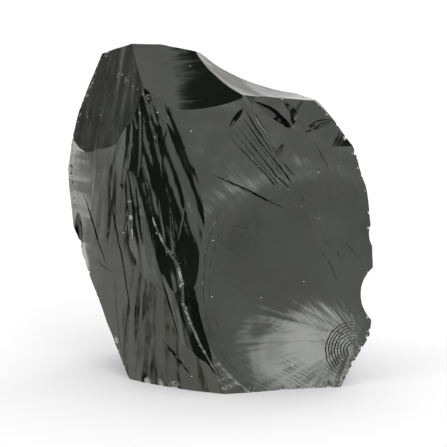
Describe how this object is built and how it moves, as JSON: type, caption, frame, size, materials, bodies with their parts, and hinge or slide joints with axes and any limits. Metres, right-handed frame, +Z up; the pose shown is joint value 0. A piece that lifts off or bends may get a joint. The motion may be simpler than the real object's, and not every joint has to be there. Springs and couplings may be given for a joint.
{
  "type": "obsidian chunk",
  "caption": "Rough hand-sized chunk of black volcanic glass with shell-shaped fracture scars, a sloping hollow top and a flat base to rest on.",
  "frame": {"origin": "on the flat resting face at the bottom, under the middle of the stone", "axes": "+Z up, out of the top of the stone; -Y out of the broad front face with the large shell-shaped scar; +X to the right of that face"},
  "size_m": [0.1002, 0.0596, 0.1069],
  "materials": {
    "obsidian": "glossy natural fracture, opaque black"
  },
  "bodies": {
    "root": {"obsidian_chunk": "obsidian"}
  },
  "joints": []
}
